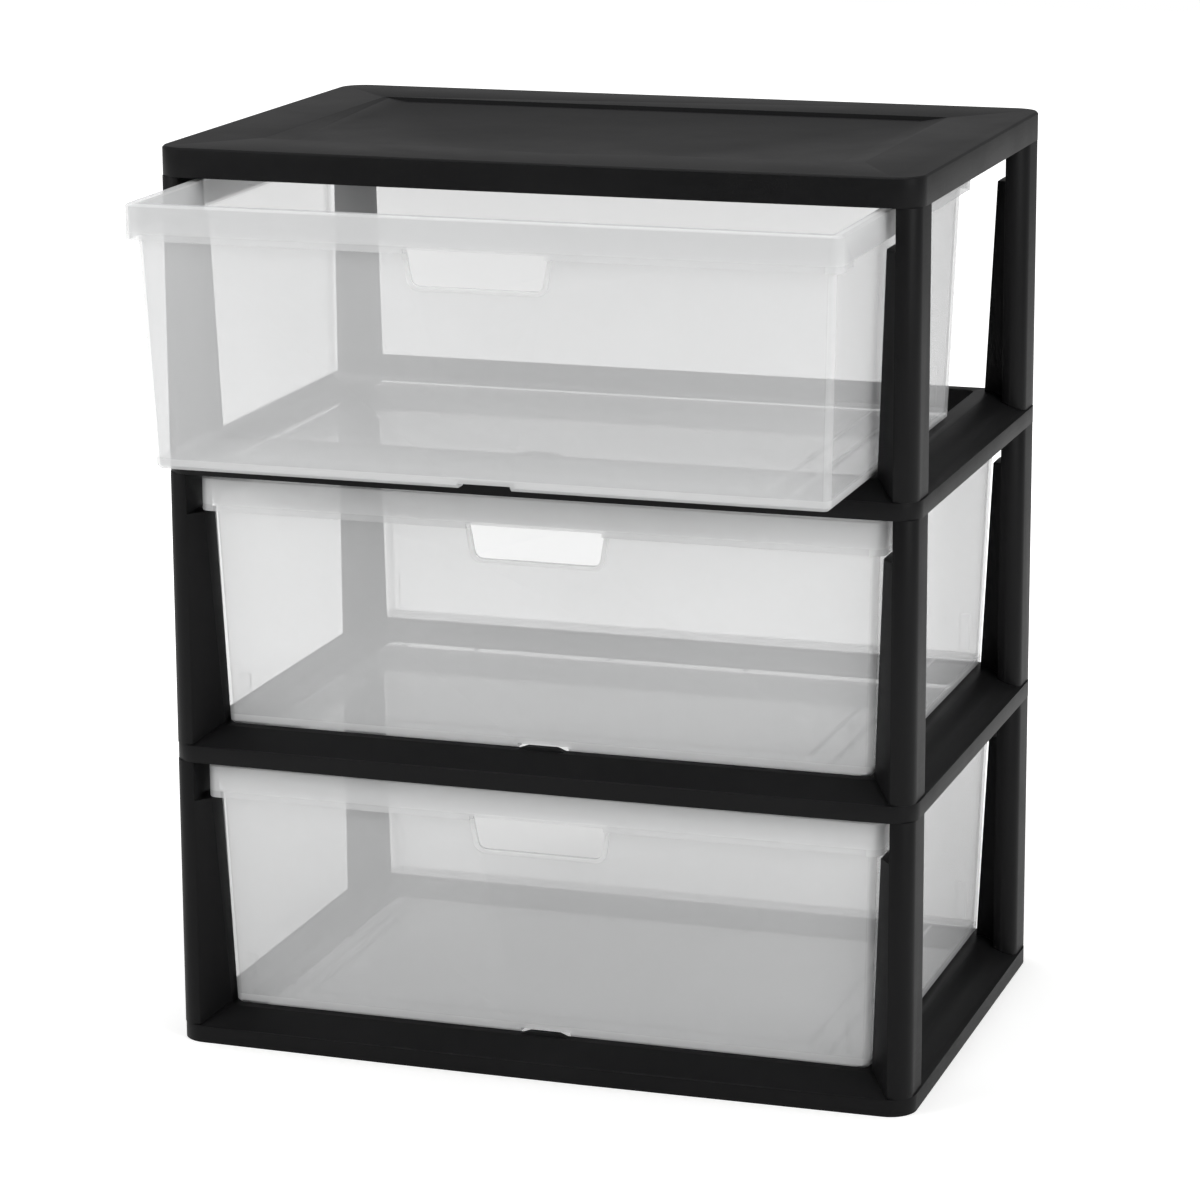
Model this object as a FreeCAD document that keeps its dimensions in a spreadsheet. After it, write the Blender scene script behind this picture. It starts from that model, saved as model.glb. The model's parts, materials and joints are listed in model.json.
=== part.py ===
import FreeCAD, Part
import Sketcher
import math
import os

# Three-drawer plastic tower: a top panel, three open frames, twelve corner legs that plug into
# them, and three translucent drawers that slide on the frames. Millimetres, +Z up, front towards
# -Y, origin on the floor in the middle of the tower's footprint.

document = FreeCAD.newDocument("DrawerTower")
sheet = document.addObject("Spreadsheet::Sheet", "Sizes")
cells_used = []


class Size:
    """A length: its formula in the sheet's cells, and what that comes to now."""

    def __init__(self, formula, value):
        self.formula = formula
        self.value = value

    def __add__(self, other):
        return Size(f"({self.formula} + {other.formula})", self.value + other.value)

    def __sub__(self, other):
        return Size(f"({self.formula} - {other.formula})", self.value - other.value)

    def __mul__(self, factor):
        if isinstance(factor, Size):
            return Size(f"({self.formula} * {factor.formula})", self.value * factor.value)
        return Size(f"({self.formula} * {factor})", self.value * factor)

    def __truediv__(self, divisor):
        if isinstance(divisor, Size):
            return Size(f"({self.formula} / {divisor.formula})", self.value / divisor.value)
        return Size(f"({self.formula} / {divisor})", self.value / divisor)

    def __neg__(self):
        return Size(f"(0 - {self.formula})", -self.value)


def cell(alias, number):
    """Write one driving dimension into the sheet."""
    cells_used.append(alias)
    row = len(cells_used)
    sheet.set(f"A{row}", alias)
    sheet.set(f"B{row}", str(number))
    sheet.setAlias(f"B{row}", alias)
    return Size(f"Sizes.{alias}", float(number))


zero = Size("0", 0.0)

# Whole tower
tower_width = cell("TowerWidth", 556)
tower_depth = cell("TowerDepth", 376)
leg_height = cell("LegHeight", 201.5)
corner_radius = cell("CornerRadius", 20)
front_bow = cell("FrontBow", 3)
overrun = cell("CutOverrun", 2)

# Open frames
band_height = cell("BandHeight", 12.5)
frame_wall = cell("FrameWall", 2.5)
edge_land = cell("EdgeLand", 1)
seat_rise = cell("SeatRise", 12)
side_slope = cell("SideSlope", 27)
end_slope = cell("EndSlope", 18)
seat_radius = cell("SeatRadius", 8)
side_flange = cell("SideFlange", 42)
front_flange = cell("FrontFlange", 28)
back_flange = cell("BackFlange", 30)
opening_radius = cell("OpeningRadius", 8)
lip_depth = cell("LipDepth", 16)
rib_thickness = cell("RibThickness", 1.8)
rib_clearance = cell("RibClearance", 5)
tab_width = cell("StopTabWidth", 36)
tab_crest = cell("StopTabCrest", 22)
tab_depth = cell("StopTabDepth", 5)
tab_height = cell("StopTabHeight", 2.6)
tab_setback = cell("StopTabSetback", 22)

# Top panel
skirt_height = cell("SkirtHeight", 21)
top_edge_chamfer = cell("TopEdgeChamfer", 1.4)
recess_width = cell("RecessWidth", 444)
recess_depth = cell("RecessDepth", 3)
recess_ramp = cell("RecessRamp", 20)
recess_front_margin = cell("RecessFrontMargin", 63)
recess_back_margin = cell("RecessBackMargin", 68)
recess_bow = cell("RecessBow", 7)
recess_radius = cell("RecessRadius", 5)
top_rib_depth = cell("TopRibDepth", 7)

# Corner legs
leg_inset = cell("LegInset", 1.3)
leg_width = cell("LegWidth", 16)
leg_depth = cell("LegDepth", 47)
leg_radius = cell("LegRadius", 13)
leg_wall = cell("LegWall", 2.6)
fin_height = cell("FinHeight", 172)
fin_reach = cell("FinReach", 34.5)
fin_top_reach = cell("FinTopReach", 26.3)
fin_nose_depth = cell("FinNoseDepth", 22.5)
fin_end_setback = cell("FinEndSetback", 14)
spigot_width = cell("SpigotWidth", 8)
spigot_length = cell("SpigotLength", 28)
spigot_rise = cell("SpigotRise", 6)
spigot_drop = cell("SpigotDrop", 5)
spigot_clearance = cell("SpigotClearance", 0.3)
socket_wall = cell("SocketWall", 2)

# Drawers
drawer_height = cell("DrawerHeight", 187)
floor_width = cell("DrawerFloorWidth", 484)
floor_depth = cell("DrawerFloorDepth", 330)
mouth_width = cell("DrawerMouthWidth", 496)
mouth_depth = cell("DrawerMouthDepth", 350)
drawer_radius = cell("DrawerRadius", 6)
drawer_wall = cell("DrawerWall", 2.2)
floor_edge_chamfer = cell("DrawerFloorEdgeChamfer", 2.4)
rim_width = cell("RimWidth", 507)
rim_depth = cell("RimDepth", 364)
rim_radius = cell("RimRadius", 8)
rim_wall = cell("RimWall", 2.2)
rim_skirt = cell("RimSkirt", 20)
rim_front_skirt = cell("RimFrontSkirt", 25)
rim_front_reach = cell("RimFrontReach", 32)
rim_edge_chamfer = cell("RimEdgeChamfer", 1.4)
rim_setback = cell("RimSetback", 8)
foot_width = cell("DrawerFootWidth", 35)
foot_depth = cell("DrawerFootDepth", 10)
floor_bevel = cell("DrawerFloorBevel", 16)
floor_rise = cell("DrawerFloorRise", 5)
tab_clearance = cell("StopTabClearance", 0.9)
grip_width = cell("GripWidth", 101)
grip_taper = cell("GripTaper", 4.5)
grip_height = cell("GripHeight", 23)
grip_hidden = cell("GripHiddenHeight", 3)
grip_radius = cell("GripRadius", 6)
bead_width = cell("GripBeadWidth", 3)
bead_proud = cell("GripBeadProud", 1.2)
lug_width = cell("LugWidth", 8)
lug_height = cell("LugHeight", 28)
lug_thickness = cell("LugThickness", 1.6)
lug_level = cell("LugLevel", 10)
lug_inset = cell("LugInset", 9)
drawer_pull = cell("TopDrawerPull", 118)

# Where ribs stand, as shares of the width or depth of the moulding that they stiffen
frame_rib_width_shares = (-0.3, -0.1, 0.1, 0.3)
frame_rib_depth_shares = (-0.16, 0.16)
top_rib_width_shares = (-0.22, 0, 0.22)
top_rib_depth_shares = (-0.12, 0.12)

# How far round a stepped corner each of its points stands, as shares of its radius
corner_step_shares = ((1, 0), (0.866, 0.5), (0.5, 0.866), (0, 1))

document.recompute()


def bind(thing, field, size):
    thing.setExpression(field, size.formula)


def direction(start, end):
    run = end - start
    return run / run.Length


def corner_points(before, corner, after, radius):
    """Where a rounding of a corner starts, ends and has its centre."""
    way_in = direction(before, corner)
    way_out = direction(corner, after)
    turn = math.acos(max(-1.0, min(1.0, way_in.dot(way_out))))
    reach = radius * math.tan(turn / 2)
    start = corner - way_in * reach
    end = corner + way_out * reach
    left = FreeCAD.Vector(-way_in.y, way_in.x, 0)
    return start, end, start + left * radius


def arc_between(start, end, centre):
    """An anticlockwise arc from start to end."""
    spoke_in = start - centre
    spoke_out = end - centre
    first = math.atan2(spoke_in.y, spoke_in.x)
    last = math.atan2(spoke_out.y, spoke_out.x)
    circle = Part.Circle(centre, FreeCAD.Vector(0, 0, 1), spoke_in.Length)
    return Part.ArcOfCircle(circle, first, last)


def pin(sketch, geometry, spot, place, axis):
    """Hold one coordinate of a sketch point at a size, measured from the sketch's origin."""
    origin = (-1, 1)
    own_axis = -2 if axis == "DistanceX" else -1
    if place.value == 0:
        sketch.addConstraint(Sketcher.Constraint("PointOnObject", geometry, spot, own_axis))
        return
    if place.value > 0:
        ends = (*origin, geometry, spot)
        distance = place
    else:
        ends = (geometry, spot, *origin)
        distance = -place
    index = sketch.addConstraint(Sketcher.Constraint(axis, *ends, distance.value))
    bind(sketch, f"Constraints[{index}]", distance)


def outline(name, corners, level=zero, front_arc=None, upright=False):
    """A closed sketch through corners given anticlockwise as (x, y) or (x, y, radius).

    With front_arc, the first side is an arc that stands that much proud of its middle. An
    upright sketch lies in a plane of constant Y, and its second coordinate is a height.
    """
    sketch = document.addObject("Sketcher::SketchObject", name)
    if upright:
        sketch.Placement.Rotation = FreeCAD.Rotation(FreeCAD.Vector(1, 0, 0), 90)
        bind(sketch, "Placement.Base.y", level)
    else:
        bind(sketch, "Placement.Base.z", level)
    places = [FreeCAD.Vector(corner[0].value, corner[1].value, 0) for corner in corners]
    count = len(corners)
    radii = [corner[2] if len(corner) > 2 else None for corner in corners]
    starts = list(places)
    ends = list(places)
    centres = [None] * count
    for index, radius in enumerate(radii):
        if radius is not None:
            rounding = corner_points(
                places[index - 1], places[index], places[(index + 1) % count], radius.value
            )
            ends[index], starts[index], centres[index] = rounding

    sides = []
    for index in range(count):
        following = (index + 1) % count
        if index == 0 and front_arc is not None:
            half_span = (places[1] - places[0]).Length / 2
            bend = (half_span ** 2 + front_arc.value ** 2) / (2 * front_arc.value)
            centre = FreeCAD.Vector(0, places[0].y - front_arc.value + bend, 0)
            sides.append(sketch.addGeometry(arc_between(starts[0], ends[1], centre)))
        else:
            line = Part.LineSegment(starts[index], ends[following])
            sides.append(sketch.addGeometry(line))
    roundings = []
    for index in range(count):
        if radii[index] is None:
            roundings.append(None)
        else:
            arc = arc_between(ends[index], starts[index], centres[index])
            roundings.append(sketch.addGeometry(arc))

    for index in range(count):
        before = sides[index - 1]
        after = sides[index]
        rounding = roundings[index]
        if rounding is None:
            sketch.addConstraint(Sketcher.Constraint("Coincident", before, 2, after, 1))
        else:
            sketch.addConstraint(Sketcher.Constraint("Tangent", before, 2, rounding, 1))
            sketch.addConstraint(Sketcher.Constraint("Tangent", rounding, 2, after, 1))
            held = Sketcher.Constraint("Radius", rounding, radii[index].value)
            bind(sketch, f"Constraints[{sketch.addConstraint(held)}]", radii[index])

    for index in range(count):
        following = (index + 1) % count
        side = sides[index]
        if index == 0 and front_arc is not None:
            half_span = corners[1][0]
            bend = (half_span * half_span + front_arc * front_arc) / (front_arc * 2)
            held = Sketcher.Constraint("Radius", side, bend.value)
            bind(sketch, f"Constraints[{sketch.addConstraint(held)}]", bend)
            pin(sketch, side, 3, zero, "DistanceX")
            pin(sketch, side, 3, corners[0][1] - front_arc + bend, "DistanceY")
        elif places[index].y == places[following].y:
            sketch.addConstraint(Sketcher.Constraint("Horizontal", side))
            pin(sketch, side, 1, corners[index][1], "DistanceY")
        elif places[index].x == places[following].x:
            sketch.addConstraint(Sketcher.Constraint("Vertical", side))
            pin(sketch, side, 1, corners[index][0], "DistanceX")
        else:
            for end in (index, following):
                mark = sketch.addGeometry(Part.Point(places[end]), True)
                pin(sketch, mark, 1, corners[end][0], "DistanceX")
                pin(sketch, mark, 1, corners[end][1], "DistanceY")
                sketch.addConstraint(Sketcher.Constraint("PointOnObject", mark, 1, side))
    return sketch


def rounded_plan(name, width, front, back, radius, level=zero, front_arc=None):
    """A rounded rectangle in plan, centred across, from front to back along Y."""
    half = width / 2
    corners = [(-half, front, radius), (half, front, radius)]
    corners += [(half, back, radius), (-half, back, radius)]
    return outline(name, corners, level, front_arc)


def stepped_corner(corner_x, corner_y, radius, side, face):
    """Points of a corner rounded in three flat steps, anticlockwise; side and face are signs."""
    points = []
    for across, along in corner_step_shares:
        x = corner_x - radius * side + radius * (across * side)
        y = corner_y - radius * face + radius * (along * face)
        points.append((x, y))
    return points if side == face else points[::-1]


def stepped_plan(name, width, front, back, radius, level):
    """A rectangle in plan, centred across, with its corners rounded in flat steps."""
    half = width / 2
    corners = stepped_corner(-half, front, radius, -1, -1)
    corners += stepped_corner(half, front, radius, 1, -1)
    corners += stepped_corner(half, back, radius, 1, 1)
    corners += stepped_corner(-half, back, radius, -1, 1)
    return outline(name, corners, level)


def extrusion(name, sketch, height):
    solid = document.addObject("Part::Extrusion", name)
    solid.Base = sketch
    solid.DirMode = "Normal"
    solid.Solid = True
    bind(solid, "LengthFwd", height)
    return solid


def loft(name, sections):
    solid = document.addObject("Part::Loft", name)
    solid.Sections = sections
    solid.Solid = True
    solid.Ruled = True
    return solid


def box(name, low, high):
    """A box between two corners, each of three sizes."""
    solid = document.addObject("Part::Box", name)
    for field, start, end in zip(("Length", "Width", "Height"), low, high):
        bind(solid, field, end - start)
    for axis, start in zip("xyz", low):
        bind(solid, f"Placement.Base.{axis}", start)
    return solid


def cut(name, base, *tools):
    for number, tool in enumerate(tools):
        result = document.addObject("Part::Cut", f"{name}_cut_{number}")
        result.Base = base
        result.Tool = tool
        base = result
    return base


def fuse(name, *shapes):
    result = document.addObject("Part::MultiFuse", name)
    result.Shapes = list(shapes)
    result.Refine = True
    return result


def common(name, *shapes):
    result = document.addObject("Part::MultiCommon", name)
    result.Shapes = list(shapes)
    return result


def centred(width, depth):
    """The left, right, front and back of a rectangle round the middle."""
    return -width / 2, width / 2, -depth / 2, depth / 2


def frustum(name, foot_sides, foot, head_sides, head):
    """A block with flat sloping sides, from a rectangle at one height to one at another."""
    solid = document.addObject("Part::Wedge", name)
    solid.Placement.Rotation = FreeCAD.Rotation(FreeCAD.Vector(1, 0, 0), 90)
    fields = (("X", "Z", foot_sides), ("X2", "Z2", head_sides))
    for across, along, (left, right, front, back) in fields:
        bind(solid, f"{across}min", left)
        bind(solid, f"{across}max", right)
        bind(solid, f"{along}min", -back)
        bind(solid, f"{along}max", -front)
    bind(solid, "Ymin", foot)
    bind(solid, "Ymax", head)
    return solid


def edge_change(kind, name, base, size, wanted):
    """Round or chamfer the edges of base whose limits are wanted."""
    document.recompute()
    picked = []
    for number, edge in enumerate(base.Shape.Edges, start=1):
        if wanted(edge.BoundBox):
            picked.append((number, size.value, size.value))
    result = document.addObject(kind, name)
    result.Base = base
    result.Edges = picked
    return result


def rounded_uprights(name, base, radius):
    """Round the edges that rise from the foot of base to its head."""
    return edge_change(
        "Part::Fillet", name, base, radius, lambda limits: limits.ZLength > radius.value
    )


def chamfered_at(name, base, size, height):
    """Chamfer every edge of base that lies flat at a height."""
    near = size.value / 100
    return edge_change(
        "Part::Chamfer", name, base, size,
        lambda limits: max(abs(limits.ZMin - height.value), abs(limits.ZMax - height.value)) < near,
    )


# Shared places

half_width = tower_width / 2
half_depth = tower_depth / 2
tier_pitch = leg_height + band_height
seat_level = band_height + seat_rise
spigot_side = leg_inset + (leg_width - spigot_width) / 2
spigot_front = leg_inset + (leg_depth - spigot_length) / 2
rim_centre = rim_setback + rim_depth / 2 - half_depth


def socket_boxes(name, margin, low, high):
    """Boxes round the four leg spigots, wider than them by margin."""
    boxes = []
    near = half_width - spigot_side + margin
    far = half_width - spigot_side - spigot_width - margin
    front = half_depth - spigot_front + margin
    back = half_depth - spigot_front - spigot_length - margin
    for side, start, end in (("right", far, near), ("left", -near, -far)):
        for face, first, last in (("front", -front, -back), ("back", back, front)):
            corners = ((start, first, low), (end, last, high))
            boxes.append(box(f"{name}_{face}_{side}", *corners))
    return boxes


def stop_tab(name, level):
    """The small ramped tab behind the front edge that the closed drawer sits against."""
    back = tab_setback + tab_depth - half_depth
    foot = tab_width / 2
    crest = tab_crest / 2
    top = level + tab_height
    low = level - frame_wall / 2
    corners = [(-foot, low), (foot, low), (foot, level), (crest, top), (-crest, top), (-foot, level)]
    return extrusion(name, outline(f"{name}_profile", corners, back, upright=True), tab_depth)


def make_frame(label, level):
    """One open frame: outer band, sloping flange, flat seat, inner lip and leg sockets."""
    opening_width = tower_width - side_flange * 2
    opening_front = front_flange - half_depth
    opening_back = half_depth - back_flange
    inner = frame_wall + edge_land

    def ring(name, width_inset, depth_inset, radius, height):
        return stepped_plan(
            f"{label}_{name}",
            tower_width - width_inset * 2,
            depth_inset - half_depth,
            half_depth - depth_inset,
            radius,
            height,
        )

    band_plan = rounded_plan(
        f"{label}_band_plan", tower_width, -half_depth, half_depth, corner_radius, zero, front_bow
    )
    band = extrusion(f"{label}_band", band_plan, band_height)
    slope = [
        ring("slope_foot", edge_land, edge_land, corner_radius - edge_land, band_height),
        ring("slope_top", edge_land + side_slope, edge_land + end_slope, seat_radius, seat_level),
    ]
    outside = fuse(f"{label}_outside", band, loft(f"{label}_flange", slope))
    core_radius = corner_radius - inner
    core_sections = [
        ring("core_foot", inner, inner, core_radius, -overrun),
        ring("core_waist", inner, inner, core_radius, band_height - frame_wall),
        ring(
            "core_top",
            inner + side_slope,
            inner + end_slope,
            seat_radius - frame_wall,
            seat_level - frame_wall,
        ),
    ]
    core = loft(f"{label}_core", core_sections)
    lip = rounded_plan(
        f"{label}_lip_plan",
        opening_width + frame_wall * 2,
        opening_front - frame_wall,
        opening_back + frame_wall,
        opening_radius + frame_wall,
        seat_level - lip_depth,
    )
    kept = [extrusion(f"{label}_lip", lip, lip_depth)]
    kept += socket_boxes(f"{label}_socket", spigot_clearance + socket_wall, zero, seat_level)
    for number, share in enumerate(frame_rib_width_shares):
        middle = tower_width * share
        low = (middle - rib_thickness / 2, -half_depth, rib_clearance)
        high = (middle + rib_thickness / 2, half_depth, seat_level)
        kept.append(box(f"{label}_cross_rib_{number}", low, high))
    for number, share in enumerate(frame_rib_depth_shares):
        middle = tower_depth * share
        low = (-half_width, middle - rib_thickness / 2, rib_clearance)
        high = (half_width, middle + rib_thickness / 2, seat_level)
        kept.append(box(f"{label}_side_rib_{number}", low, high))
    hollow = cut(f"{label}_hollow", core, fuse(f"{label}_kept", *kept))
    opening = rounded_plan(
        f"{label}_opening_plan",
        opening_width,
        opening_front,
        opening_back,
        opening_radius,
        -overrun,
    )
    through = extrusion(f"{label}_opening", opening, seat_level + overrun * 2)
    holes = socket_boxes(
        f"{label}_socket_hole", spigot_clearance, -overrun, seat_level + overrun
    )
    shell = cut(f"{label}_shell", outside, hollow, through, *holes)
    frame = fuse(f"{label}_moulding", shell, stop_tab(f"{label}_tab", seat_level))
    frame.Label = label
    bind(frame, "Placement.Base.z", level)
    return frame


def make_top(label, level):
    """The top panel: drafted skirt, shallow ramped recess, ribs and leg sockets underneath."""
    block = extrusion(
        f"{label}_block",
        rounded_plan(
            f"{label}_plan", tower_width, -half_depth, half_depth, corner_radius, zero, front_bow
        ),
        skirt_height,
    )
    outside = chamfered_at(f"{label}_outside", block, top_edge_chamfer, skirt_height)

    def dish(name, grow, drop):
        """The recess's shape, grown outwards and lowered: steep front and back, ramped ends."""
        front = recess_front_margin - half_depth - grow
        back = half_depth - recess_back_margin + grow
        head = skirt_height - drop
        floor = head - recess_depth
        plan = rounded_plan(
            f"{label}_{name}_plan",
            recess_width + grow * 2,
            front,
            back,
            recess_radius + grow,
            floor,
            recess_bow,
        )
        half_head = recess_width / 2 + grow
        half_floor = half_head - recess_ramp
        ramps = [(-half_floor, floor), (half_floor, floor), (half_head, head), (-half_head, head)]
        profile = outline(f"{label}_{name}_profile", ramps, back, upright=True)
        return common(
            f"{label}_{name}",
            extrusion(f"{label}_{name}_block", plan, recess_depth),
            extrusion(f"{label}_{name}_ramps", profile, back - front + recess_bow),
        )

    recess = dish("recess", zero, zero)
    under = dish("under", frame_wall, frame_wall)
    core = extrusion(
        f"{label}_core",
        rounded_plan(
            f"{label}_core_plan",
            tower_width - frame_wall * 2,
            frame_wall - half_depth,
            half_depth - frame_wall,
            corner_radius - frame_wall,
            -overrun,
        ),
        skirt_height - frame_wall + overrun,
    )
    kept = [under]
    kept += socket_boxes(f"{label}_socket", spigot_clearance + socket_wall, zero, skirt_height)
    rib_foot = skirt_height - recess_depth - frame_wall - top_rib_depth
    for number, share in enumerate(top_rib_width_shares):
        middle = tower_width * share
        low = (middle - rib_thickness / 2, -half_depth, rib_foot)
        high = (middle + rib_thickness / 2, half_depth, skirt_height - frame_wall)
        kept.append(box(f"{label}_cross_rib_{number}", low, high))
    for number, share in enumerate(top_rib_depth_shares):
        middle = tower_depth * share
        low = (-half_width, middle - rib_thickness / 2, rib_foot)
        high = (half_width, middle + rib_thickness / 2, skirt_height - frame_wall)
        kept.append(box(f"{label}_long_rib_{number}", low, high))
    hollow = cut(f"{label}_hollow", core, fuse(f"{label}_kept", *kept))
    holes = socket_boxes(
        f"{label}_socket_hole", spigot_clearance, -overrun, skirt_height - frame_wall
    )
    panel = cut(f"{label}_moulding", outside, recess, hollow, *holes)
    panel.Label = label
    bind(panel, "Placement.Base.z", level)
    return panel


def make_leg(label, corner, level):
    """One corner leg, made for the front right corner, then mirrored or turned for the others."""
    outer = -leg_inset
    inner = -(leg_inset + leg_width)
    front = leg_inset
    back = leg_inset + leg_depth
    column_plan = [(inner, front), (outer, front, leg_radius), (outer, back, leg_radius), (inner, back)]
    column = extrusion(f"{label}_column", outline(f"{label}_column_plan", column_plan), leg_height)
    root = inner + leg_wall
    fin_back = back - fin_end_setback

    def fin_plan(name, reach, height):
        """The fin's outline: from the column's front edge it slants in to a nose beside the drawer."""
        nose = front + fin_nose_depth * ((inner + reach) / (inner + fin_reach))
        corners = [(inner, front), (root, front), (root, fin_back), (-reach, fin_back), (-reach, nose)]
        return outline(f"{label}_{name}", corners, height)

    fin_foot = fin_plan("fin_foot", fin_reach, zero)
    fin_top = fin_plan("fin_top", fin_top_reach, fin_height)
    blank = fuse(f"{label}_blank", column, loft(f"{label}_fin", [fin_foot, fin_top]))

    far = leg_depth * 2
    slope_side = -edge_land - side_slope
    slope_front = edge_land + end_slope
    foot_corner = stepped_corner(-edge_land, edge_land, corner_radius - edge_land, 1, -1)
    foot_plan = [(-far, edge_land), *foot_corner, (-edge_land, far), (-far, far)]
    top_corner = stepped_corner(slope_side, slope_front, seat_radius, 1, -1)
    top_plan = [(-far, slope_front), *top_corner, (slope_side, far), (-far, far)]
    flange = loft(
        f"{label}_flange",
        [outline(f"{label}_flange_foot", foot_plan), outline(f"{label}_flange_top", top_plan, seat_rise)],
    )
    middle = (fin_height + seat_rise) / 2
    windows = []
    pocket_side = outer - leg_wall
    pocket_mouth = fin_back + leg_wall
    pocket_back = back - leg_wall
    pocket_corner = leg_radius - leg_wall
    pocket_plan = [
        (root, front + leg_radius),
        (pocket_side, front + leg_radius),
        (pocket_side, pocket_back - pocket_corner),
        (pocket_side - pocket_corner, pocket_back),
        (-far, pocket_back),
        (-far, pocket_mouth),
        (root, pocket_mouth),
    ]
    for name, start, end in (
        ("low", seat_rise + leg_wall, middle - leg_wall / 2),
        ("high", middle + leg_wall / 2, fin_height - leg_wall),
    ):
        sketch = outline(f"{label}_pocket_{name}_plan", pocket_plan, start)
        windows.append(extrusion(f"{label}_pocket_{name}", sketch, end - start))
    shaft = cut(f"{label}_shaft", blank, flange, *windows)

    def spigot(name, start, end):
        low = (-spigot_side - spigot_width, spigot_front, start)
        high = (-spigot_side, spigot_front + spigot_length, end)
        return box(f"{label}_{name}", low, high)

    leg = fuse(
        f"{label}_moulding",
        shaft,
        spigot("spigot_up", leg_height - leg_wall, leg_height + spigot_rise),
        spigot("spigot_down", -spigot_drop, seat_rise + leg_wall),
    )
    if corner in ("front_left", "back_right"):
        mirror = document.addObject("Part::Mirroring", f"{label}_mirror")
        mirror.Source = leg
        mirror.Normal = FreeCAD.Vector(1, 0, 0)
        leg = mirror
    leg.Label = label
    if corner.startswith("back"):
        leg.Placement.Rotation = FreeCAD.Rotation(FreeCAD.Vector(0, 0, 1), 180)
    across = half_width if corner.endswith("right") else -half_width
    along = half_depth if corner.startswith("back") else -half_depth
    bind(leg, "Placement.Base.x", across)
    bind(leg, "Placement.Base.y", along)
    bind(leg, "Placement.Base.z", level)
    return leg


def make_drawer(label, level, pull):
    """One drawer: tapered thin-walled bin with a turned-down rim, a grip hole and a raised floor."""

    def plan(name, width, depth, radius, height):
        return rounded_plan(f"{label}_{name}", width, -depth / 2, depth / 2, radius, height)

    def size_at(height, grow):
        share = height / drawer_height
        width = floor_width + (mouth_width - floor_width) * share + grow * 2
        depth = floor_depth + (mouth_depth - floor_depth) * share + grow * 2
        return centred(width, depth)

    def bin_of(name, grow, foot, head):
        block = frustum(
            f"{label}_{name}_block", size_at(foot, grow), foot, size_at(head, grow), head
        )
        return rounded_uprights(f"{label}_{name}", block, drawer_radius + grow)

    def raised(name, lift, grow):
        width = floor_width - foot_width * 2 + grow * 2
        depth = floor_depth - foot_depth * 2 + grow * 2
        slope = floor_bevel * 2
        return frustum(
            f"{label}_{name}",
            centred(width, depth),
            lift,
            centred(width - slope, depth - slope),
            lift + floor_rise,
        )

    def channel(name, grow):
        half = tab_width / 2 + tab_clearance + grow
        low = (-half, -floor_depth / 2 - overrun, -overrun)
        high = (half, foot_depth + floor_bevel - floor_depth / 2, tab_height + tab_clearance + grow)
        return box(f"{label}_{name}", low, high)

    outer = chamfered_at(
        f"{label}_outer", bin_of("bin", zero, zero, drawer_height), floor_edge_chamfer, zero
    )
    rim_top = extrusion(
        f"{label}_rim_block",
        plan("rim_plan", rim_width, rim_depth, rim_radius, drawer_height - rim_skirt),
        rim_skirt,
    )
    half_rim = rim_width / 2
    rim_face = -rim_depth / 2
    front_corners = [
        (-half_rim, rim_face, rim_radius), (half_rim, rim_face, rim_radius),
        (half_rim, rim_face + rim_front_reach), (-half_rim, rim_face + rim_front_reach),
    ]
    skirt_foot = drawer_height - rim_front_skirt
    front_plan = outline(f"{label}_rim_front_plan", front_corners, skirt_foot)
    rim_front = extrusion(f"{label}_rim_front", front_plan, rim_front_skirt)
    solid_body = fuse(f"{label}_block", outer, rim_top, rim_front)
    body = chamfered_at(f"{label}_body", solid_body, rim_edge_chamfer, drawer_height)
    groove_plan = plan(
        "groove_plan",
        rim_width - rim_wall * 2,
        rim_depth - rim_wall * 2,
        rim_radius - rim_wall,
        skirt_foot - overrun,
    )
    groove_block = extrusion(f"{label}_groove_block", groove_plan, rim_front_skirt - rim_wall + overrun)
    groove = cut(f"{label}_groove", groove_block, outer)

    grip_top = skirt_foot + grip_hidden
    grip_foot = skirt_foot - grip_height

    def grip_profile(name, grow, head):
        half = grip_width / 2 + grow
        lower = half - grip_taper
        corners = [
            (-lower, grip_foot - grow, grip_radius + grow), (lower, grip_foot - grow, grip_radius + grow),
            (half, head), (-half, head),
        ]
        inside = -(floor_depth / 2 - drawer_radius)
        sketch = outline(f"{label}_{name}_profile", corners, inside, upright=True)
        return extrusion(f"{label}_{name}", sketch, (rim_depth - floor_depth) / 2 + drawer_radius)

    bead = common(
        f"{label}_bead",
        grip_profile("bead_block", bead_width, skirt_foot + rim_wall),
        bin_of("bead_bin", bead_proud, zero, drawer_height),
    )
    lugs = []
    lug_out = floor_width / 2 - lug_inset
    lug_face = floor_depth / 2 - drawer_wall - lug_thickness
    lug_root = mouth_depth / 2
    spans = ((-lug_out, lug_width - lug_out), (lug_out - lug_width, lug_out))
    for face, first, last in (("front", -lug_root, -lug_face), ("back", lug_face, lug_root)):
        for number, (start, end) in enumerate(spans):
            low = (start, first, lug_level)
            high = (end, last, lug_level + lug_height)
            lugs.append(box(f"{label}_lug_{face}_{number}", low, high))
    cavity = cut(
        f"{label}_cavity_net",
        bin_of("cavity", -drawer_wall, drawer_wall, drawer_height + overrun),
        raised("plateau", drawer_wall, drawer_wall),
        channel("ridge", drawer_wall),
        *lugs,
    )
    drawer = cut(
        f"{label}_moulding",
        fuse(f"{label}_beaded", cut(f"{label}_grooved", body, groove), bead),
        cavity,
        raised("underside", zero, zero),
        channel("channel", zero),
        grip_profile("grip", zero, grip_top),
    )
    drawer.Label = label
    bind(drawer, "Placement.Base.y", rim_centre - pull)
    bind(drawer, "Placement.Base.z", level)
    return drawer


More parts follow.
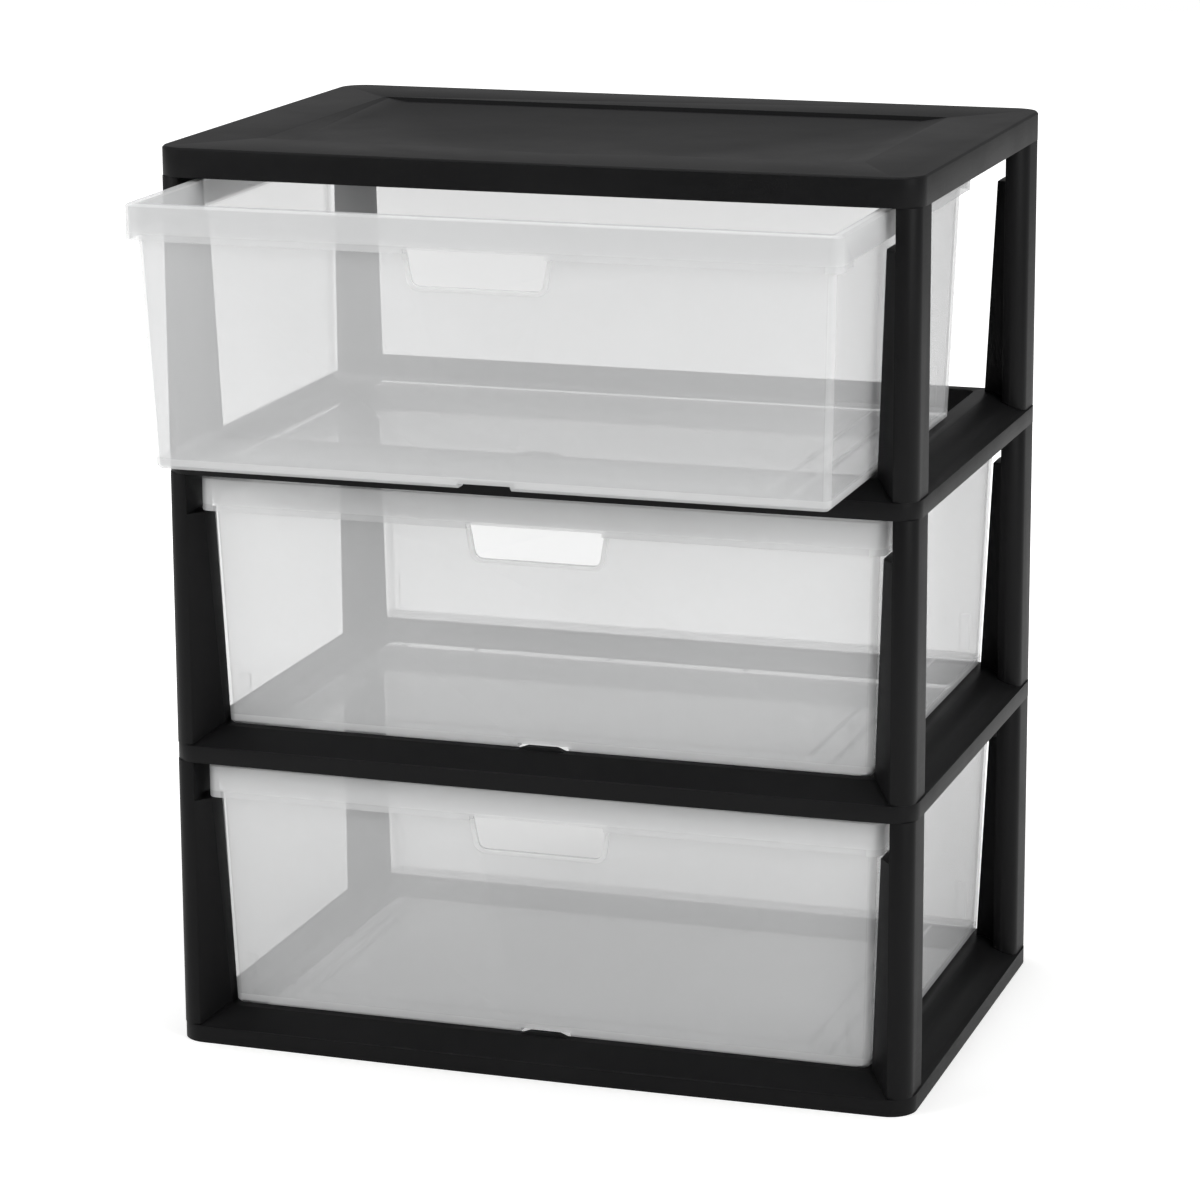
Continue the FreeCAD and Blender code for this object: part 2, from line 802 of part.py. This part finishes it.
tiers = (("lower", zero), ("middle", tier_pitch), ("upper", tier_pitch * 2))
frame_names = {"lower": "base_frame", "middle": "shelf_lower", "upper": "shelf_upper"}
drawer_names = {"lower": "drawer_bottom", "middle": "drawer_middle", "upper": "drawer_top"}
corner_names = ("front_left", "front_right", "back_left", "back_right")

pieces = []
for tier, foot in tiers:
    pieces.append(make_frame(frame_names[tier], foot))
    for corner in corner_names:
        pieces.append(make_leg(f"leg_{tier}_{corner}", corner, foot + band_height))
    pull = drawer_pull if tier == "upper" else zero
    pieces.append(make_drawer(drawer_names[tier], foot + seat_level, pull))
pieces.append(make_top("top_panel", tier_pitch * len(tiers)))

document.recompute()

for thing in document.Objects:
    troubles = [state for state in thing.State if state in ("Invalid", "Error")]
    if troubles:
        raise RuntimeError(f"{thing.Name} did not compute: {troubles}")

os.makedirs("parts", exist_ok=True)
for piece in pieces:
    shape = piece.Shape
    if shape.isNull() or not shape.isValid():
        raise RuntimeError(f"{piece.Label} has no valid shape")
    if len(shape.Solids) != 1:
        raise RuntimeError(f"{piece.Label} is {len(shape.Solids)} solids, not one")
    shape.exportStep(f"parts/{piece.Label}.step")
    limits = shape.BoundBox
    print(
        f"{piece.Label}: volume {shape.Volume:.0f} mm3,"
        f" x {limits.XMin:.1f} to {limits.XMax:.1f}, y {limits.YMin:.1f} to {limits.YMax:.1f},"
        f" z {limits.ZMin:.1f} to {limits.ZMax:.1f}"
    )
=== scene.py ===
"""Plastic drawer tower: a black moulded frame of open shelves on corner legs, with three milky
drawers. Laid out as an add-on and run as a script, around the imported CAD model."""

import json
import math

import bpy
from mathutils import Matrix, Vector

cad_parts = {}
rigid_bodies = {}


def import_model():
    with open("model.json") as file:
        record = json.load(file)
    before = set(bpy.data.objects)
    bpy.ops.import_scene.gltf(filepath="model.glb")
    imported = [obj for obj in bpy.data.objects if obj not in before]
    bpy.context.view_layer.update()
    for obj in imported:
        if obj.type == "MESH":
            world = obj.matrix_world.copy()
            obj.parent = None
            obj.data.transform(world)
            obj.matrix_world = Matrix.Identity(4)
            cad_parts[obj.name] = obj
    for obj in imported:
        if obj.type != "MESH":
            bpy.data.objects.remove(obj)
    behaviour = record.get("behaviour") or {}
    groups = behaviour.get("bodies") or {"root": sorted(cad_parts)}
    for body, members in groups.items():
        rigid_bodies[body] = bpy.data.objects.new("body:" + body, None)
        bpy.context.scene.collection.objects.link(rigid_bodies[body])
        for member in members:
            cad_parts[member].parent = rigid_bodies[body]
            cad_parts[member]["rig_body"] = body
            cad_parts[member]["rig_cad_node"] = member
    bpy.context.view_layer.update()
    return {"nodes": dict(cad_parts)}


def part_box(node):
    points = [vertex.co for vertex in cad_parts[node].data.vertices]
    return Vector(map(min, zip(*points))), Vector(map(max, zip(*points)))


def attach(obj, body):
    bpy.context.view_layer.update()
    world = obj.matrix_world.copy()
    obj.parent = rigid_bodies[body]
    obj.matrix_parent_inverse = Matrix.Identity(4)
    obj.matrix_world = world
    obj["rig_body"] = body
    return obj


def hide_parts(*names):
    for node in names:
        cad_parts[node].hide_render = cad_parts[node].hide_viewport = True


bl_info = {
    "name": "Plastic drawer tower",
    "version": (1, 0, 0),
    "blender": (4, 5, 0),
    "location": "View3D > Sidebar > Drawer tower",
    "description": "Dresses the packed drawer tower: black moulded frame, milky drawers and studio",
    "category": "Object",
}

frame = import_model()

TIERS = ("lower", "middle", "upper")
CORNERS = ("front_left", "front_right", "back_left", "back_right")
FRAMES = ("base_frame", "shelf_lower", "shelf_upper")
DRAWERS = ("drawer_bottom", "drawer_middle", "drawer_top")
TOWER = "tower"

# How a CAD node's triangles are merged and its edges rounded
MERGE_DISTANCE = 0.00002
FLAT_ANGLE = math.radians(0.6)
EDGE_ANGLE = math.radians(33)
EDGE_SEGMENTS = 2
SMOOTH_ANGLE = math.radians(28)

# Sizes of a drawer that its finish follows, in metres from the middle of its foot
FLOOR_HALF_WIDTH = 0.242
FLOOR_HALF_DEPTH = 0.165
FLOOR_TOP = 0.0076
FLOOR_FOOT_SIDE = 0.035
FLOOR_FOOT_END = 0.010
FLOOR_BEVEL = 0.016
WALL_SPREAD_SIDE = 0.006
WALL_SPREAD_END = 0.010
RIM_SKIRT = 0.020
GRIP_HEAD = 0.161
BEAD_PROUD = 0.0012
LUG_MIDDLE = 0.229
LUG_HALF_WIDTH = 0.0046
LUG_FOOT = 0.0095
LUG_HEAD = 0.0385
LUG_BACK = 0.0052

# Widths of the denser lines at a drawer's corners, lip, foot and floor creases, in metres
CORNER_BAND = 0.0046
LIP_BAND = 0.0016
FOOT_BAND = 0.0026
CREASE_BAND = 0.0011

# How much of the edges' haze a drawer's corners, lugs and foot have
CORNER_SHARE = 0.75
LUG_SHARE = 0.6
FOOT_SHARE = 0.35

# Noise patterns, with scales per metre
PATCHES = {"scale": 9.0, "detail": 4.0, "roughness": 0.6}
STREAKS = {"scale": 6.0, "detail": 3.0}
CLOUDS = {"scale": 7.0, "detail": 3.0, "roughness": 0.55}
FINE_GRAIN = {"scale": 260.0}
FLOOR_TONES = {"scale": 3.0}
MOULDED_GRAIN_DETAIL = 1.0
NOISE_MIDDLE = 0.5

# Rubbed patches, flow streaks and grain of the black plastic
PATCH_START = 0.42
PATCH_FULL = 0.72
STREAK_STRETCH = (3, 3, 60)
PATCH_PALENESS = 0.35
STREAK_PALENESS = 0.15
PATCH_DULLNESS = 0.07
STREAK_DULLNESS = 0.05
STREAK_RELIEF = 0.15
BLACK_RELIEF = 0.22
BLACK_RELIEF_DEPTH = 0.0004

# Clouds and grain of the milky plastic
CLOUD_HAZE = 0.02
CLOUD_SHADE = 0.96
CLOUD_DULLNESS = 0.03
MILKY_RELIEF = 0.02
MILKY_RELIEF_DEPTH = 0.0005

# Studio, in metres and watts: each lamp has its place, its size and its power
STUDIO_FLOOR_SIZE = 14
STUDIO_FLOOR_SHADE = 0.99
LAMP_TARGET = (0, 0, 0.35)
LAMPS = {
    "soft_lamp_left": ((-2.2, -1.8, 2.0), (1.8, 1.8), 38),
    "soft_lamp_right": ((2.6, -1.2, 1.6), (1.4, 1.8), 33),
    "soft_lamp_above": ((0, 0.4, 3.0), (2.4, 2.0), 34),
}
WALLS_SEEN_THROUGH = 32

# The camera, fitted to edges measured in the photograph
CAMERA_PLACE = (0.9676, -2.9601, 1.0783)
CAMERA_YAW = math.radians(18.256)
CAMERA_PITCH = math.radians(12.904)
CAMERA_ROLL = math.radians(-0.303)
CAMERA_LENS = 129.43
CAMERA_SENSOR = 36
CAMERA_SHIFT = (-0.0013, -0.0599)
CAMERA_REACH = 50


# Sizes and colours that a user may change


def length(name, description, default):
    """A size in metres."""
    return bpy.props.FloatProperty(
        name=name, description=description, default=default, min=0, precision=4, unit="LENGTH"
    )


def share(name, description, default):
    """A number from 0 to 1."""
    return bpy.props.FloatProperty(
        name=name, description=description, default=default, min=0, max=1, subtype="FACTOR"
    )


def colour(name, description, default):
    """A colour with its alpha."""
    return bpy.props.FloatVectorProperty(
        name=name, description=description, default=default, size=4, min=0, max=1, subtype="COLOR"
    )


class BlackPlasticLooks(bpy.types.PropertyGroup):
    plain: colour("Colour", "Moulded black of the frames and legs", (0.0068, 0.0068, 0.0072, 1))
    scuffed: colour("Scuffs", "Paler black where the surface is rubbed", (0.012, 0.012, 0.0125, 1))
    roughness: share("Roughness", "How dull the satin surface is", 0.40)
    gloss: share("Gloss", "Strength of its highlights", 0.12)
    grain_size: length("Grain", "Spacing of the fine moulded grain", 0.0011)
    edge_round: length("Edge rounding", "Radius of the moulded edges", 0.0007)


class MilkyPlasticLooks(bpy.types.PropertyGroup):
    plain: colour("Colour", "Milky colour of the drawers", (0.90, 0.905, 0.91, 1))
    haze: share("Haze", "How much each face of a wall hides", 0.33)
    rim_haze: share("Rim haze", "How much each face of the rim hides", 0.48)
    floor_haze: share("Floor haze", "How much each face of the floor hides", 0.5)
    crease_haze: share("Crease haze", "How much the creases round the raised floor hide", 0.9)
    edge_haze: share("Edge haze", "How much edges, beads and lugs hide", 0.55)
    roughness: share("Roughness", "How dull the surface is", 0.24)
    gloss: share("Gloss", "Strength of its highlights", 0.5)
    edge_round: length("Edge rounding", "Radius of the moulded edges", 0.0005)


class StudioLooks(bpy.types.PropertyGroup):
    floor: colour("Floor", "Pale studio floor", (0.86, 0.86, 0.855, 1))
    sky: colour("Surroundings", "Light of the room", (1, 1, 1, 1))
    sky_strength: share("Room light", "Strength of the room's light on the object", 0.37)
    sky_gloss: share("Room gloss", "Strength of room and floor as glossy surfaces show them", 0.34)
    glow_near: share("Floor glow near", "Brightness that the camera adds to the floor by the tower", 0.4)
    glow_reach: length("Floor glow reach", "Distance at which the floor turns as white as the room", 1.1)


LOOKS = {
    "black_plastic_looks": BlackPlasticLooks,
    "milky_plastic_looks": MilkyPlasticLooks,
    "studio_looks": StudioLooks,
}


# Materials


class Value:
    """A node's output in a material's maths: an expression adds the Math nodes that it needs."""

    def __init__(self, nodes, socket):
        self.nodes = nodes
        self.socket = socket

    def maths(self, operation, *others):
        return self.nodes.add("ShaderNodeMath", {"operation": operation}, self, *others)

    def __add__(self, other):
        return self.maths("ADD", other)

    def __sub__(self, other):
        return self.maths("SUBTRACT", other)

    def __rsub__(self, other):
        return self.nodes.add("ShaderNodeMath", {"operation": "SUBTRACT"}, other, self)

    def __mul__(self, other):
        return self.maths("MULTIPLY", other)

    def __truediv__(self, other):
        return self.maths("DIVIDE", other)

    def __gt__(self, other):
        return self.maths("GREATER_THAN", other)

    def __lt__(self, other):
        return self.maths("LESS_THAN", other)

    def absolute(self):
        return self.maths("ABSOLUTE")

    def highest(self, other):
        return self.maths("MAXIMUM", other)

    def lowest(self, other):
        return self.maths("MINIMUM", other)

    __radd__ = __add__
    __rmul__ = __mul__


class Nodes:
    """The node tree of one material or of the world."""

    def __init__(self, owner):
        owner.use_nodes = True
        self.tree = owner.node_tree
        self.tree.nodes.clear()

    def add(self, kind, settings=None, *inputs, output=0, **named):
        """Add a node: its settings first, then its sockets by place or by name."""
        node = self.tree.nodes.new(kind)
        for field, value in (settings or {}).items():
            if field == "stops":
                while len(node.color_ramp.elements) < len(value):
                    node.color_ramp.elements.new(1)
                for stop, (place, shade) in zip(node.color_ramp.elements, value):
                    stop.position = place
                    stop.color = (shade, shade, shade, 1)
            else:
                setattr(node, field, value)
        places = [(node.inputs[number], value) for number, value in enumerate(inputs)]
        places += [(node.inputs[name.replace("_", " ")], value) for name, value in named.items()]
        for socket, value in places:
            if isinstance(value, Value):
                self.tree.links.new(value.socket, socket)
            elif value is not None:
                socket.default_value = value
        return Value(self, node.outputs[output]) if node.outputs else node

    def place(self, centre=(0, 0, 0)):
        """The point being shaded, measured from a centre in the tower's own axes."""
        point = self.add("ShaderNodeTexCoord", output="Object")
        return self.add("ShaderNodeMapping", {}, point, Location=[-value for value in centre])

    def parts(self, vector):
        """The three parts of a vector."""
        outputs = self.add("ShaderNodeSeparateXYZ", {}, vector).socket.node.outputs
        return [Value(self, output) for output in outputs]

    def rays(self):
        """1 for what is seen by itself or through a clear surface, and 1 for what gloss shows."""
        outputs = self.add("ShaderNodeLightPath").socket.node.outputs
        names = ("Is Camera Ray", "Is Transmission Ray", "Is Glossy Ray")
        camera, transmission, glossy = [Value(self, outputs[name]) for name in names]
        return camera.highest(transmission), glossy

    def noise(self, place, scale, detail=2.0, roughness=0.5):
        return self.add("ShaderNodeTexNoise", {}, place, Scale=scale, Detail=detail, Roughness=roughness)

    def ramp(self, value, *stops):
        """A value spread between stops, each a place and the grey that it gives."""
        return self.add("ShaderNodeValToRGB", {"stops": stops}, value)

    def mix(self, factor, first, second):
        """A colour between two: the node's sockets for numbers and vectors stay empty."""
        empty = [None] * 5
        return self.add("ShaderNodeMix", {"data_type": "RGBA"}, factor, *empty, first, second, output=2)

    def surface(self, shader):
        self.add("ShaderNodeOutputMaterial", {}, shader)


def darker(shade, rest):
    """A colour of which only a share is left."""
    return [value * rest for value in shade[:3]] + [1]


def between(value, low, high):
    """1 where a value lies between two limits, 0 elsewhere."""
    return (value > low) * (value < high)


def rectangle_line(across, along, half_width, half_depth):
    """1 on the outline of a rectangle round the middle, 0 elsewhere."""
    outside = (across - half_width).highest(along - half_depth)
    return outside.absolute() < CREASE_BAND


def black_plastic(context):
    """Satin black polypropylene: fine moulded grain, faint rubbed patches and flow marks."""
    looks = context.scene.black_plastic_looks
    material = bpy.data.materials.new("black_satin_plastic")
    nodes = Nodes(material)
    place = nodes.place()
    patches = nodes.ramp(nodes.noise(place, **PATCHES), (PATCH_START, 0), (PATCH_FULL, 1))
    flow = nodes.add("ShaderNodeMapping", {}, place, Scale=STREAK_STRETCH)
    streaks = nodes.noise(flow, **STREAKS)
    grain = nodes.noise(place, 1 / looks.grain_size, MOULDED_GRAIN_DETAIL)
    scuffs = patches * PATCH_PALENESS + streaks * STREAK_PALENESS
    relief = nodes.add(
        "ShaderNodeBump",
        {},
        Strength=BLACK_RELIEF,
        Distance=BLACK_RELIEF_DEPTH,
        Height=grain + streaks * STREAK_RELIEF,
    )
    shader = nodes.add(
        "ShaderNodeBsdfPrincipled",
        {},
        Base_Color=nodes.mix(scuffs, looks.plain, looks.scuffed),
        Roughness=patches * PATCH_DULLNESS + streaks * STREAK_DULLNESS + looks.roughness,
        Normal=relief,
        Specular_IOR_Level=looks.gloss,
    )
    nodes.surface(shader)
    return material


def milky_plastic(context, node):
    """Milky see-through polypropylene: denser in the rim, floor, beads and lugs, and at corners."""
    looks = context.scene.milky_plastic_looks
    low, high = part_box(node)
    height = high.z - low.z
    centre = (low + high) / 2
    centre.z = low.z
    material = bpy.data.materials.new(f"milky_plastic_{node}")
    nodes = Nodes(material)
    place = nodes.place(centre)
    x, y, z = nodes.parts(place)
    across = x.absolute()
    along = y.absolute()
    cloud = nodes.noise(place, **CLOUDS)

    wall_side = z * (WALL_SPREAD_SIDE / height) + FLOOR_HALF_WIDTH
    wall_end = z * (WALL_SPREAD_END / height) + FLOOR_HALF_DEPTH
    corner = (across > wall_side - CORNER_BAND) * (along > wall_end - CORNER_BAND)
    rim = z > height - RIM_SKIRT
    lip = z > height - LIP_BAND
    floor = z < FLOOR_TOP
    foot = z < FOOT_BAND
    bevel_side = FLOOR_HALF_WIDTH - FLOOR_FOOT_SIDE
    bevel_end = FLOOR_HALF_DEPTH - FLOOR_FOOT_END
    crease = rectangle_line(across, along, bevel_side, bevel_end).highest(
        rectangle_line(across, along, bevel_side - FLOOR_BEVEL, bevel_end - FLOOR_BEVEL)
    )
    bead = (0 - y > wall_end + BEAD_PROUD / 2) * (z < GRIP_HEAD)
    lug = (
        between(across, LUG_MIDDLE - LUG_HALF_WIDTH, LUG_MIDDLE + LUG_HALF_WIDTH)
        * between(z, LUG_FOOT, LUG_HEAD)
        * (along > FLOOR_HALF_DEPTH - LUG_BACK)
    )
    edge = (corner * CORNER_SHARE).highest(lip).highest(bead)
    edge = edge.highest(lug * LUG_SHARE).highest(foot * FOOT_SHARE)
    haze = looks.haze + rim * (looks.rim_haze - looks.haze)
    haze = haze.highest(floor * looks.floor_haze).highest(floor * crease * looks.crease_haze)
    haze = haze.highest(edge * looks.edge_haze) + (cloud - NOISE_MIDDLE) * CLOUD_HAZE

    relief = nodes.add(
        "ShaderNodeBump",
        {},
        Strength=MILKY_RELIEF,
        Distance=MILKY_RELIEF_DEPTH,
        Height=nodes.noise(place, **FINE_GRAIN),
    )
    shader = nodes.add(
        "ShaderNodeBsdfPrincipled",
        {},
        Base_Color=nodes.mix(cloud, looks.plain, darker(looks.plain, CLOUD_SHADE)),
        Roughness=cloud * CLOUD_DULLNESS + looks.roughness,
        Alpha=haze,
        Normal=relief,
        Specular_IOR_Level=looks.gloss,
    )
    nodes.surface(shader)
    return material


# Modelling


def deselect():
    if bpy.context.object and bpy.context.object.mode != "OBJECT":
        bpy.ops.object.mode_set(mode="OBJECT")
    bpy.ops.object.select_all(action="DESELECT")


def only(piece):
    """Make one piece the active and only selected object."""
    deselect()
    piece.select_set(True)
    bpy.context.view_layer.objects.active = piece


def apply_modifier(piece, kind, **settings):
    only(piece)
    modifier = piece.modifiers.new(kind.lower(), kind)
    for field, value in settings.items():
        setattr(modifier, field, value)
    bpy.ops.object.modifier_apply(modifier=modifier.name)


def copy_of(node):
    """A free copy of a CAD node, with its own mesh and without the node's marks."""
    source = frame["nodes"][node]
    piece = source.copy()
    piece.data = source.data.copy()
    piece.name = f"{node}_moulding"
    piece.parent = None
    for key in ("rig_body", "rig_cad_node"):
        if key in piece:
            del piece[key]
    bpy.context.scene.collection.objects.link(piece)
    return piece


def mould(node, edge_round, material, body):
    """Replace a CAD node by a copy with its triangles merged and its edges rounded."""
    piece = copy_of(node)
    only(piece)
    bpy.ops.object.mode_set(mode="EDIT")
    bpy.ops.mesh.select_all(action="SELECT")
    bpy.ops.mesh.remove_doubles(threshold=MERGE_DISTANCE)
    bpy.ops.mesh.dissolve_limited(angle_limit=FLAT_ANGLE)
    bpy.ops.object.mode_set(mode="OBJECT")
    apply_modifier(
        piece,
        "BEVEL",
        width=edge_round,
        segments=EDGE_SEGMENTS,
        limit_method="ANGLE",
        angle_limit=EDGE_ANGLE,
        use_clamp_overlap=True,
    )
    bpy.ops.object.shade_smooth_by_angle(angle=SMOOTH_ANGLE)
    piece.data.materials.clear()
    piece.data.materials.append(material)
    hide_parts(node)
    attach(piece, body)


class TOWER_OT_black_mouldings(bpy.types.Operator):
    """Top panel, open frames and corner legs in satin black plastic"""

    bl_idname = "tower.black_mouldings"
    bl_label = "Black mouldings"

    def execute(self, context):
        material = black_plastic(context)
        edge_round = context.scene.black_plastic_looks.edge_round
        legs = [f"leg_{tier}_{corner}" for tier in TIERS for corner in CORNERS]
        for node in ("top_panel", *FRAMES, *legs):
            mould(node, edge_round, material, TOWER)
        return {"FINISHED"}


class TOWER_OT_drawers(bpy.types.Operator):
    """Three milky drawers"""

    bl_idname = "tower.drawers"
    bl_label = "Drawers"

    def execute(self, context):
        edge_round = context.scene.milky_plastic_looks.edge_round
        for node in DRAWERS:
            mould(node, edge_round, milky_plastic(context, node), node)
        return {"FINISHED"}


# Studio


def area_light(name, place, size, power):
    """A rectangular lamp that points at the middle of the tower."""
    bpy.ops.object.light_add(type="AREA", location=place)
    lamp = bpy.context.object
    lamp.name = name
    lamp.data.shape = "RECTANGLE"
    lamp.data.size, lamp.data.size_y = size
    lamp.data.energy = power
    beam = Vector(LAMP_TARGET) - Vector(place)
    lamp.rotation_euler = beam.to_track_quat("-Z", "Y").to_euler()


class TOWER_OT_studio(bpy.types.Operator):
    """Pale floor, soft lamps, white surroundings and the camera"""

    bl_idname = "tower.studio"
    bl_label = "Studio"

    def execute(self, context):
        self.floor(context)
        self.surroundings(context)
        for name, (place, size, power) in LAMPS.items():
            area_light(name, place, size, power)
        self.camera(context)
        context.scene.view_settings.view_transform = "Standard"
        context.scene.cycles.transparent_max_bounces = WALLS_SEEN_THROUGH
        return {"FINISHED"}

    def floor(self, context):
        """A pale matt floor that looks whiter away from the tower, and keeps its shadow."""
        looks = context.scene.studio_looks
        deselect()
        bpy.ops.mesh.primitive_plane_add(size=STUDIO_FLOOR_SIZE, location=(0, 0, 0))
        floor = context.object
        floor.name = "studio_floor"
        material = bpy.data.materials.new("studio_floor")
        nodes = Nodes(material)
        place = nodes.place()
        tone = nodes.noise(place, **FLOOR_TONES)
        base = nodes.mix(tone, looks.floor, darker(looks.floor, STUDIO_FLOOR_SHADE))
        matt = nodes.add("ShaderNodeBsdfDiffuse", {}, Color=base)
        x, y, _ = nodes.parts(place)
        far = (x * x + y * y) / looks.glow_reach ** 2
        brightness = far.lowest(1) * (1 - looks.glow_near) + looks.glow_near
        glow = nodes.add("ShaderNodeEmission", {}, Color=brightness, Strength=1)
        both = nodes.add("ShaderNodeAddShader", {}, matt, glow)
        seen, glossy = nodes.rays()
        lit = seen.highest(glossy * looks.sky_gloss)
        nodes.surface(nodes.add("ShaderNodeMixShader", {}, lit, matt, both))
        floor.data.materials.append(material)

    def surroundings(self, context):
        """A room that looks white, and lights the tower at its own strength."""
        looks = context.scene.studio_looks
        world = bpy.data.worlds.new("studio_surroundings")
        context.scene.world = world
        nodes = Nodes(world)
        seen, glossy = nodes.rays()
        strength = glossy * (looks.sky_gloss - looks.sky_strength) + looks.sky_strength
        light = nodes.add("ShaderNodeBackground", {}, Color=looks.sky, Strength=strength.highest(seen))
        nodes.add("ShaderNodeOutputWorld", {}, light)

    def camera(self, context):
        """The photograph's own view."""
        bpy.ops.object.camera_add(location=CAMERA_PLACE)
        camera = context.object
        camera.name = "photo_camera"
        camera.data.sensor_width = CAMERA_SENSOR
        camera.data.lens = CAMERA_LENS
        camera.data.shift_x, camera.data.shift_y = CAMERA_SHIFT
        camera.data.clip_end = CAMERA_REACH
        level = math.cos(CAMERA_PITCH)
        ahead = (-math.sin(CAMERA_YAW) * level, math.cos(CAMERA_YAW) * level, -math.sin(CAMERA_PITCH))
        camera.rotation_euler = Vector(ahead).to_track_quat("-Z", "Y").to_euler()
        camera.rotation_euler.rotate_axis("Z", CAMERA_ROLL)
        context.scene.camera = camera


class TOWER_PT_sidebar(bpy.types.Panel):
    """Buttons and sizes of the drawer tower"""

    bl_idname = "TOWER_PT_sidebar"
    bl_label = "Drawer tower"
    bl_space_type = "VIEW_3D"
    bl_region_type = "UI"
    bl_category = "Drawer tower"

    def draw(self, context):
        for operator in OPERATORS:
            self.layout.operator(operator.bl_idname)
        for name, group in LOOKS.items():
            box = self.layout.box()
            for field in group.__annotations__:
                box.prop(getattr(context.scene, name), field)


OPERATORS = (TOWER_OT_black_mouldings, TOWER_OT_drawers, TOWER_OT_studio)
CLASSES = (*LOOKS.values(), *OPERATORS, TOWER_PT_sidebar)


def register():
    for kind in CLASSES:
        bpy.utils.register_class(kind)
    for name, group in LOOKS.items():
        setattr(bpy.types.Scene, name, bpy.props.PointerProperty(type=group))


def unregister():
    for name in LOOKS:
        delattr(bpy.types.Scene, name)
    for kind in reversed(CLASSES):
        bpy.utils.unregister_class(kind)


def main():
    register()
    bpy.ops.tower.black_mouldings()
    bpy.ops.tower.drawers()
    bpy.ops.tower.studio()


if __name__ == "__main__":
    main()
